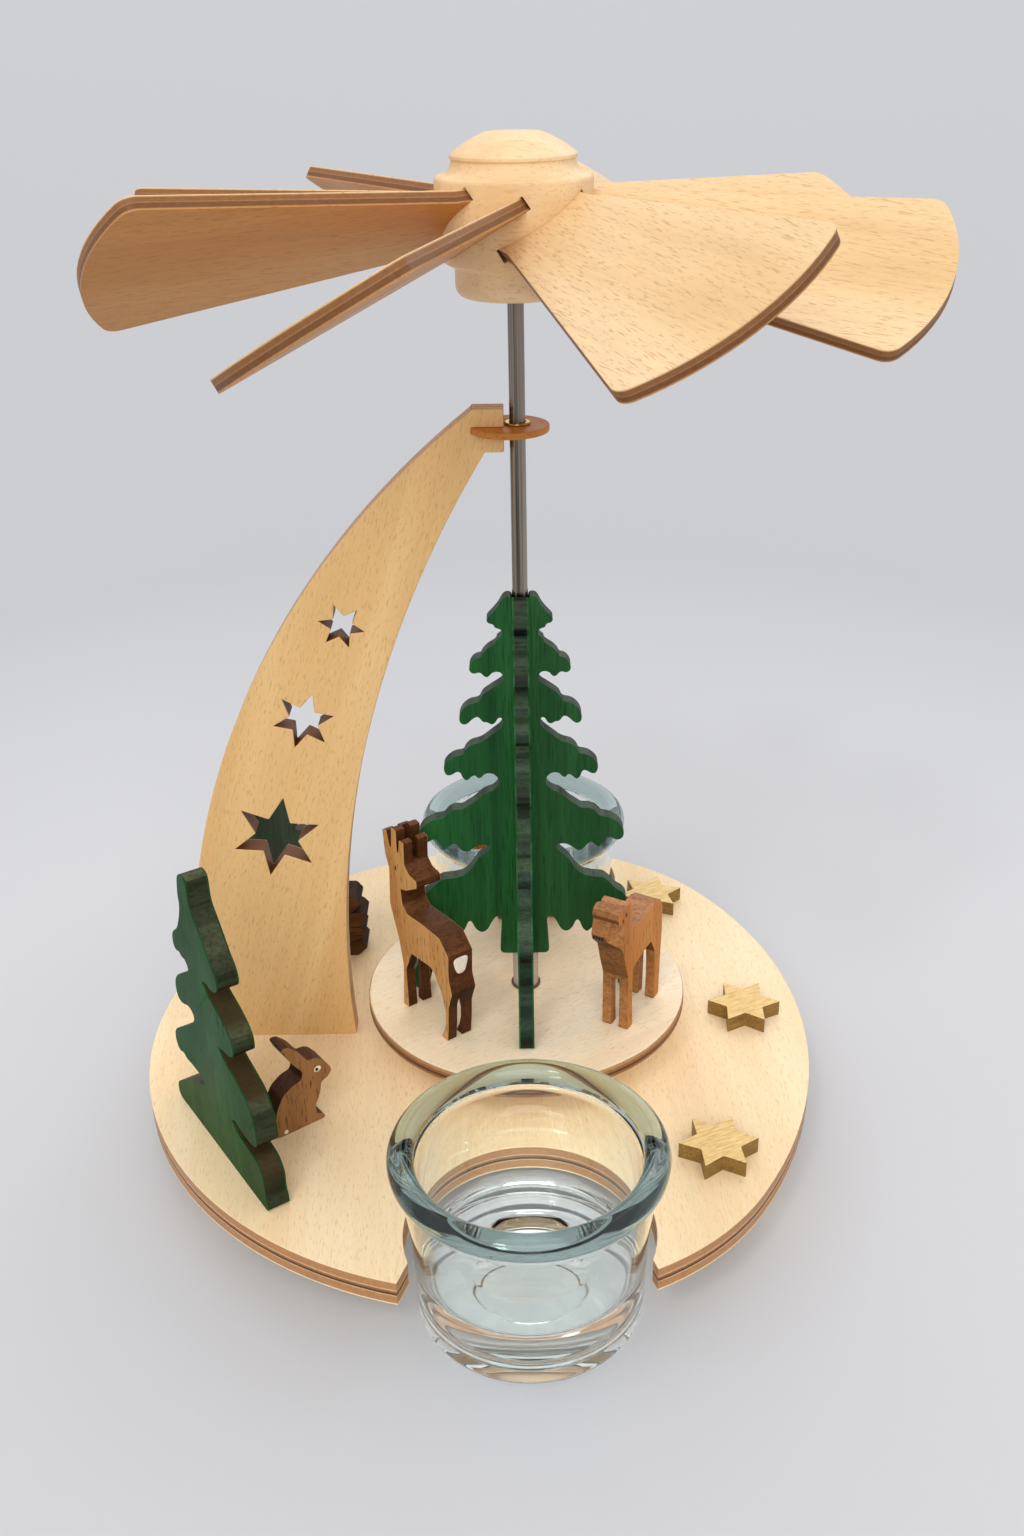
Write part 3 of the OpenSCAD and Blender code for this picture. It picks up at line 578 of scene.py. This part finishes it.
glassForm = {  # mm; pairs are a radius and a height
    "height": 38.5,
    "bore": 20,
    "floor": 11.5,
    "bead": 2.49,  # radius of the thick rim
    "beadWall": 1.1,  # wall between the bore and the bead
    "beadGap": 0.04,
    "under": [(0, 1), (9, 1), (10, 0.9)],
    "ring": 11,  # ring pressed into the bottom, on both sides
    "ringRound": 0.5,
    "ringMiddle": 0.8,  # its height on the underside
    "sole": [(17.6, 0.3), (18.6, 0)],
    "foot": 19.6,  # where the sole starts to round up
    "footRound": 2.2,
    "shoulder": [(21.9, 4.6)],
    "groove": (22.3, 6),  # middle of the arc that hollows the wall
    "grooveRound": 0.8,
    "outside": [(22.05, 7.6), (22.2, 12), (22.35, 18), (22.9, 23), (23.5, 28), (24, 32)],
    "inside": [(21.15, 33), (20.9, 28), (20.4, 20), (20, 15)],
    "seatRound": 2,
    "seat": 13,  # inner end of the flat part of the floor
    "dish": 10,  # radius within which the floor lies lower
    "dishDepth": 0.6,
    "standoff": 64,
    "segments": 160,
}


def rimCentre(form):  # the bead's middle, so that its top is the glass's height
    return form["bore"] + form["beadWall"] + form["bead"], form["height"] - form["bead"]


def glassProfile(form):  # underside, rounded foot, groove, wall, seat of the bead, bore and ringed floor
    ring, ringRound, seatRound = form["ring"], form["ringRound"], form["seatRound"]
    floor, dished = form["floor"], form["floor"] - form["dishDepth"]
    return np.concatenate([
        form["under"],
        arcPoints((ring, form["ringMiddle"]), ringRound, 160, 270, 5),
        form["sole"],
        arcPoints((form["foot"], form["footRound"]), form["footRound"], -90, -8, 12),
        form["shoulder"],
        arcPoints(form["groove"], form["grooveRound"], 240, 120, 9),
        form["outside"],
        arcPoints(rimCentre(form), form["bead"] + form["beadGap"], 285, 205, 14),
        form["inside"],
        arcPoints((form["bore"] - seatRound, floor + seatRound), seatRound, 0, -90, 10),
        [(form["seat"], floor)],
        arcPoints((ring, floor + ringRound), ringRound, -70, -110, 4),
        [(form["dish"], dished), (0, dished)],
    ])


clearLook = {"colour": tone(248, 253, 250), "bend": 1.5, "ripples": 0.1}
rimLook = {"colour": tone(186, 205, 202), "bend": 1.4, "ripples": 0.14}  # thick glass shows colour


def pressedGlass(name, look):  # clear right through, with faint ripples and a breath of haze
    mat, tree, shader = startMaterial(name)
    shader.inputs["Base Color"].default_value = look["colour"]
    shader.inputs["Transmission Weight"].default_value = 1.0
    shader.inputs["IOR"].default_value = look["bend"]
    ripple = stretched(tree, objectSpace(tree), scale=(70, 70, 40), detail=2, rough=0.5)
    join(tree, ramp(tree, ripple, [(0.4, grey(0.0)), (0.8, grey(0.03))]), shader, "Roughness")
    bump(tree, shader, ripple, look["ripples"], distance=0.4 * mm)
    return mat


clearGlass = pressedGlass("clearGlass", clearLook)
rimGlass = pressedGlass("rimGlass", rimLook)
cupVerts, cupFaces = turnedSurface(glassProfile(glassForm), glassForm["segments"])
beadLoop = arcPoints(rimCentre(glassForm), glassForm["bead"], -90, 270, 45)[:-1]
beadVerts, beadFaces = ringSurface(beadLoop, glassForm["segments"])
faces = cupFaces + (np.array(beadFaces) + len(cupVerts)).tolist()
onBead = (np.arange(len(faces)) >= len(cupFaces)).astype(int)
for side, way in (("front", -1), ("rear", 1)):
    verts = np.concatenate([cupVerts, beadVerts]) + [0, way * glassForm["standoff"], 0]
    piece = makePiece(side + "_tealight_glass", verts, faces, clearGlass, side + "_cup")
    piece.data.materials.append(rimGlass)
    piece.data.polygons.foreach_set("material_index", onBead)
    piece.visible_shadow = False  # light reaches the table through clear glass
    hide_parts(side + "_glass")
print("glasses made")


# sawn boards with finer outlines than the solids: length along the board and height, then its thickness

longestEase = 0.45  # share of a side that a corner's curve may take


def easedOutline(points, reach, count=4):  # each corner becomes a parabola between points on its two sides
    corners = np.array(points, float)
    ends = []
    for way in (1, -1):
        side = np.roll(corners, way, 0) - corners
        share = np.minimum(reach / np.linalg.norm(side, axis=1), longestEase)
        ends.append(corners + side * share[:, None])
    t = np.linspace(0, 1, count)[None, :, None]
    curve = (1 - t) ** 2 * ends[0][:, None] + 2 * t * (1 - t) * corners[:, None] + t ** 2 * ends[1][:, None]
    return curve.reshape(-1, 2)


def prism(outline, start, end):  # an outline carried straight through the board from start to end
    count = len(outline)
    near = np.stack([outline[:, 0], np.full(count, start), outline[:, 1]], 1)
    far = near + [0, end - start, 0]
    here = np.arange(count)
    after = (here + 1) % count
    sides = np.stack([here, here + count, after + count, after], 1).tolist()
    return np.concatenate([near, far]), [here.tolist(), (here[::-1] + count).tolist()] + sides


def sawAway(blank, cuts):  # the blank less each cut, worked out once and kept as plain points and faces
    made = [newObject("sawing", verts, faces) for verts, faces in [blank] + cuts]
    for tool in made[1:]:
        saw = made[0].modifiers.new("saw", "BOOLEAN")
        saw.operation = "DIFFERENCE"
        saw.solver = "EXACT"
        saw.object = tool
    bpy.context.view_layer.update()
    sawn = bpy.data.meshes.new_from_object(made[0].evaluated_get(bpy.context.evaluated_depsgraph_get()))
    flat = np.empty(3 * len(sawn.vertices))
    sawn.vertices.foreach_get("co", flat)
    faces = [list(face.vertices) for face in sawn.polygons]
    for piece in made:
        mesh = piece.data
        bpy.data.objects.remove(piece)
        bpy.data.meshes.remove(mesh)
    bpy.data.meshes.remove(sawn)
    return flat.reshape(-1, 3), faces


seats = {  # height of each figure's foot, and the body that carries it
    "stag": (tableTop, "carousel"),
    "doe": (tableTop, "carousel"),
    "rabbit": (plateTop, "stand"),
}


def spun(verts, figure):  # from the board's own axes to its place: turned about its start, then set down
    at, turn = standing[figure][:2]
    cosine, sine = math.cos(math.radians(turn)), math.sin(math.radians(turn))
    return verts @ np.array([[cosine, sine, 0], [-sine, cosine, 0], [0, 0, 1]]) + [*at, seats[figure][0]]


deerForm = {
    "ease": 0.35,
    "bevel": 0.16,
    "slitRun": (-9, 25),  # past both ends of the longer board
}
stagForm = {
    "slit": 1.5,
    "slits": [(-1, 13), (36.6, 50)],  # between the legs and between the antlers, from and to a height
    "outline": [
        (0, 0), (2, 0), (1.7, 9.8), (4.3, 15.2), (5.6, 15.3), (11.7, 15.8), (13.2, 14.9), (15.7, 11.2),
        (16.9, 7.1), (16.8, 4.6), (16.2, 2.4), (14.9, 0), (17.2, 0), (17.7, 4), (18, 8.9), (19.5, 13),
        (18.5, 16), (18.7, 21.8), (15.5, 24.9), (8.8, 25), (3.4, 24.6), (1.6, 26.2), (1.2, 29.8),
        (3.4, 30.4), (7.8, 33), (7.6, 34.6), (4.8, 35), (3.2, 36.6), (3.4, 41.6), (1.8, 41.8),
        (1.2, 38.4), (0.6, 38.4), (0.6, 43.4), (-1.2, 43.6), (-1.6, 38.6), (-2.2, 38.6), (-3.2, 42),
        (-4.8, 41.6), (-4.2, 36), (-2.9, 33), (-3.4, 24), (-0.6, 17), (0.8, 10.4)],
}
doeForm = {
    "slit": 1.8,
    "slits": [(-1, 12.2)],
    "outline": [
        (0, 0), (2.3, 0), (2, 9), (2.2, 14.2), (4.5, 15.2), (8.3, 15.9), (11, 16.1), (13, 12.4),
        (13.2, 6.4), (12.9, 0), (15.4, 0), (15.8, 9), (16.3, 15.8), (16.3, 22), (15.1, 24.4),
        (12.8, 25.1), (6, 24.4), (1.6, 24.6), (1.2, 27), (1.4, 30.1), (0.5, 31.6), (-0.8, 31.6),
        (-1.5, 30.6), (-2.2, 31.6), (-3.5, 32), (-4.7, 31.4), (-5.1, 30.2), (-4.6, 28.8), (-4.9, 27.9),
        (-5.5, 25.6), (-5, 24.1), (-2.7, 21.8), (-1.3, 17), (0.1, 13)],
    "muzzle": {  # wedge off the near side: its ends along the board, its heights, clearance and slant
        "from": -2.2, "to": -8, "low": 19, "high": 28.5, "clear": 5.2, "slant": 0.85},
}


def slitCut(width, low, high):  # a saw cut in the middle of the thickness, from one height to another
    start, end = deerForm["slitRun"]
    corners = np.array([[start, low], [end, low], [end, high], [start, high]])
    return prism(corners, (deerThick - width) / 2, (deerThick + width) / 2)


def muzzleCut(form):  # a wedge off the board's near side, deeper by the slant with the way from its start
    start, end, low, high = form["from"], form["to"], form["low"], form["high"]
    corners = np.array([[end, low], [start, low], [start, high], [end, high]])
    verts, faces = prism(corners, -form["clear"], 0)
    deeper = np.clip(start - verts[:, 0], 0, None) * form["slant"]
    verts[:, 1] += np.where(verts[:, 1] > -form["clear"] / 2, deeper, 0)
    return verts, faces


def deerBoard(name, form):  # the eased outline carried through the board, less its cuts
    blank = prism(easedOutline(form["outline"], deerForm["ease"]), 0, deerThick)
    cuts = [slitCut(form["slit"], low, high) for low, high in form["slits"]]
    if "muzzle" in form:
        cuts.append(muzzleCut(form["muzzle"]))
    verts, faces = sawAway(blank, cuts)
    stain = nodes[name].data.materials[0]
    piece = makePiece(name + "_board", spun(verts, name), faces, stain, seats[name][1], smooth=False)
    soften(piece, deerForm["bevel"])
    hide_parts(name)


deerBoard("stag", stagForm)
deerBoard("doe", doeForm)

starForm = {
    "points": 6,
    "tip": 8.2,
    "waist": 0.56,  # as a share of the tip's reach
    "thick": 3.6,
    "ease": 0.25,
    "bevel": 0.2,
}


def goldStar(k, at, turn, form):  # tips and waists in turn on two circles, laid flat on the plate
    step = np.arange(2 * form["points"])
    angle = np.radians(step * 180 / form["points"] + turn)
    reach = np.where(step % 2 == 0, form["tip"], form["tip"] * form["waist"])
    corners = np.stack([reach * np.cos(angle), reach * np.sin(angle)], 1)
    verts, faces = prism(easedOutline(corners, form["ease"]), 0, form["thick"])
    laid = np.stack([verts[:, 0] + at[0], verts[:, 2] + at[1], plateTop + form["thick"] - verts[:, 1]], 1)
    piece = makePiece("gold_star_%d_top" % k, laid, faces, gold, "stand", smooth=False)
    soften(piece, form["bevel"])
    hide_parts("gold_star_%d" % k)


goldStar(2, (49.5, 3), -3, starForm)
goldStar(3, (38, -44), 4.5, starForm)

pileForm = {
    "middle": -44.2,
    "ends": (29, 37),
    "logs": [(0, 4.1, 5.8), (4.15, 8, 5.7), (8.05, 12.1, 6.1), (12.15, 16.6, 4.9)],  # foot, top and reach
    "ridge": 0.56,  # height of a log's widest line as a share of the log
    "footInset": 2.4,
    "topInset": 1.5,
    "ease": 0.5,
    "bevel": 0.2,
}
logStain = dict(
    stagStain, thick=(pileForm["ends"][1] - pileForm["ends"][0]) * mm, face=tone(96, 64, 38),
    # log sides: painted light on upper slopes, painted shade on lower slopes
    faceDark=tone(70, 46, 27), faceLight=tone(112, 77, 47), fleck=tone(50, 30, 16), edgeLitUp=tone(66, 44, 29),
    edgeSide=tone(42, 26, 15), edgeShadedDown=tone(12, 8, 5), shine=0.06)
logMiddle = (pileForm["middle"] * mm, sum(pileForm["ends"]) / 2 * mm, 0)
logWood = sawnBoard("logStain", logStain, logMiddle, (math.radians(90), 0, 0))
dress("wood_pile", logWood)


def woodPile(form):  # a stack of split logs: six-sided outlines, widest at the ridge, carried along
    verts, faces = np.zeros((0, 3)), []
    for low, high, reach in form["logs"]:
        ridge = low + form["ridge"] * (high - low)
        foot, top = reach - form["footInset"], reach - form["topInset"]
        right = np.array([[foot, low], [reach, ridge], [top, high]])
        left = np.stack([-right[::-1, 0], right[::-1, 1]], 1)
        outline = easedOutline(np.concatenate([right, left]), form["ease"])
        logVerts, logFaces = prism(outline, *form["ends"])
        faces += [[k + len(verts) for k in face] for face in logFaces]
        verts = np.concatenate([verts, logVerts])
    stacked = verts + [form["middle"], 0, plateTop]
    piece = makePiece("wood_pile_logs", stacked, faces, logWood, "stand", smooth=False)
    soften(piece, form["bevel"])
    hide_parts("wood_pile")


woodPile(pileForm)
print("deer, stars and logs sawn")


# painted marks: flat lenses, half sunk in the board's side, placed in the figure's own length and height

paint = {
    "white": plainSkin("whitePaint", tone(236, 226, 206), rough=0.5),
    "black": plainSkin("blackPaint", tone(22, 16, 14), rough=0.45),
}
lensForm = {"rows": 9, "segments": 20, "swell": 0.12, "square": 0.6}
noseMark = {"figure": "doe", "half": (0.24, 0.6), "colour": "black", "out": (-1, 0, 0)}
noseMarks = {
    "doe_nose_mark_%d" % (k + 1): dict(noseMark, at=(-5.32, across, 24.9))
    for k, across in enumerate((3.5, 4.2, 4.9, 5.5))
}
marks = {  # half sizes along and up in mm, and a lean in degrees
    "stag_eye": {
        "figure": "stag", "at": (-0.2, 0, 34.3), "half": (0.28, 0.62), "lean": 12, "colour": "black"},
    "stag_rump_patch": {
        "figure": "stag", "at": (18.6, 3.1, 18.9), "half": (1.6, 2.1), "colour": "white", "out": (1, 0, 0),
        "swell": 0.16, "taper": 0.35},
    "doe_eye": {
        "figure": "doe", "at": (-1.6, 0, 29.7), "half": (0.28, 0.55), "lean": -12, "colour": "black"},
    "doe_cheek_mark": {
        "figure": "doe", "at": (-3, 0, 29), "half": (0.22, 0.5), "lean": -10, "colour": "black"},
    **noseMarks,
    "rabbit_eye": {
        "figure": "rabbit", "at": (10.6, 0, 12.9), "half": (0.85, 0.7), "lean": 10, "colour": "white"},
    "rabbit_pupil": {
        "figure": "rabbit", "at": (10.4, -0.06, 12.9), "half": (0.4, 0.45), "lean": 10, "colour": "black"},
    "rabbit_tail": {
        "figure": "rabbit", "at": (2.2, 0, 0.8), "half": (0.5, 0.5), "colour": "white"},
}


# a half circle turned about its axis is a ball; it is stretched to the half sizes
# on two axes that lie in the board's side, and to the swell on the axis out of it

def lensMark(name, figure, at, half, colour, lean=0, out=(0, -1, 0), swell=lensForm["swell"], taper=0):
    sweep = np.linspace(0, np.pi, lensForm["rows"])
    ball, faces = turnedSurface(np.stack([np.sin(sweep), -np.cos(sweep)], 1), lensForm["segments"])
    if taper:  # a squarer mark, wider above than below
        ball[:, :2] = np.sign(ball[:, :2]) * np.abs(ball[:, :2]) ** lensForm["square"]
        ball[:, 0] *= 1 + taper * ball[:, 1]
    outward = np.array(out, float)
    upward = np.array([0, 0, 1.0])
    leaning = math.radians(lean)
    longAxis = np.cross(upward, outward) * math.cos(leaning) + upward * math.sin(leaning)
    highAxis = np.cross(outward, longAxis)
    flat = ball[:, :1] * longAxis * half[0] + ball[:, 1:2] * highAxis * half[1]
    lens = flat + ball[:, 2:] * outward * swell
    makePiece(name, spun(lens + at, figure), faces, paint[colour], seats[figure][1])


for name, mark in marks.items():
    lensMark(name, **mark)
print("painted marks made")

# floor, light and camera

studioLook = {  # sizes in metres
    "inner": 0.3,
    "flat": 5.0,
    "reach": 14.0,
    "rise": 1.2,
    "rings": 90,
    "segments": 96,
    "paperNear": tone(202, 203, 207),
    "paperFarShaded": tone(183, 184, 188),
    "paperShadeFade": (0.15, 0.38),  # way from the spindle over which the paper is painted darker: painted shade
    "paperRough": 0.85,
    "paperShine": 0.15,
    "backdrop": tone(208, 209, 213),
    "sky": (0.6, 0.595, 0.59, 1),
    "lamps": [  # name, strength, width and aim in degrees
        ("frontSun", 1.35, 50, (52, 0, 0)),
        ("leftSun", 0.2, 60, (50, 0, -75)),
        ("rightSun", 0.24, 60, (50, 0, 75)),
        ("backSun", 1.0, 75, (42, 0, 172)),
        ("glossSun", 0.26, 8, (38, 0, -28)),
    ],
}


def floorPaper(look):
    mat, tree, shader = startMaterial("floorPaper")
    away = add(tree, "VectorMath", operation="LENGTH")
    join(tree, add(tree, "TexCoord").outputs["Object"], away, 0)
    # painted shade: the paper darker away from the spindle
    far = between(tree, away.outputs["Value"], *look["paperShadeFade"])
    join(tree, mix(tree, far, look["paperNear"], look["paperFarShaded"]), shader, "Base Color")
    shader.inputs["Roughness"].default_value = look["paperRough"]
    shader.inputs["Specular IOR Level"].default_value = look["paperShine"]
    return mat


def studioFloor(look):  # a round floor: past the flat part its height grows with the cube of the way
    radius = np.linspace(look["inner"], look["reach"], look["rings"])
    past = np.clip((radius - look["flat"]) / (look["reach"] - look["flat"]), 0, 1)
    profile = np.stack([radius, look["rise"] * past ** 3], 1)
    verts = np.concatenate([ringPoints(profile, look["segments"]), [[0, 0, 0]]])
    outer = ringFaces(look["rings"], look["segments"])[:, [0, 3, 2, 1]]
    middle = poleFaces(len(verts) - 1, 0, look["segments"])
    faces = outer.tolist() + middle.tolist()
    floor = newObject("studioFloor", verts, faces)
    floor.data.polygons.foreach_set("use_smooth", np.ones(len(faces), bool))
    floor.data.materials.append(floorPaper(look))


def studioLight(look):  # seen, mirrored and bent rays meet the backdrop, the rest the sky's light
    world = bpy.data.worlds.new("studioWorld")
    bpy.context.scene.world = world
    world.use_nodes = True
    tree = world.node_tree
    rays = add(tree, "LightPath").outputs
    seen = mathNode(tree, "MAXIMUM", rays["Is Camera Ray"], rays["Is Glossy Ray"])
    seen = mathNode(tree, "MAXIMUM", seen, rays["Is Transmission Ray"])
    join(tree, mix(tree, seen, look["sky"], look["backdrop"]), tree.nodes["Background"], "Color")
    for name, power, width, aim in look["lamps"]:
        data = bpy.data.lights.new(name, "SUN")
        data.energy = power
        data.angle = math.radians(width)
        lamp = bpy.data.objects.new(name, data)
        lamp.rotation_euler = [math.radians(angle) for angle in aim]
        bpy.context.scene.collection.objects.link(lamp)


cameraForm = {
    "lens": 35,
    "sensor": 36,
    "nearest": 0.01,
    "place": (0, -0.27659, 0.22226),  # metres
    "pitch": 0.467,  # down from level, in radians like the next two
    "yaw": -0.008,
    "roll": -0.019,
}


def photoCamera(form):
    data = bpy.data.cameras.new("photoCamera")
    data.sensor_fit = "VERTICAL"
    data.sensor_height = form["sensor"]
    data.lens = form["lens"]
    data.clip_start = form["nearest"]
    cam = bpy.data.objects.new("photoCamera", data)
    turn = Matrix.Rotation(-form["yaw"], 4, "Z") @ Matrix.Rotation(math.pi / 2 - form["pitch"], 4, "X")
    cam.matrix_world = Matrix.Translation(form["place"]) @ turn @ Matrix.Rotation(form["roll"], 4, "Z")
    bpy.context.scene.collection.objects.link(cam)
    bpy.context.scene.camera = cam


studioFloor(studioLook)
studioLight(studioLook)
photoCamera(cameraForm)
bpy.context.scene.view_settings.view_transform = "Standard"
print("studio and camera set")
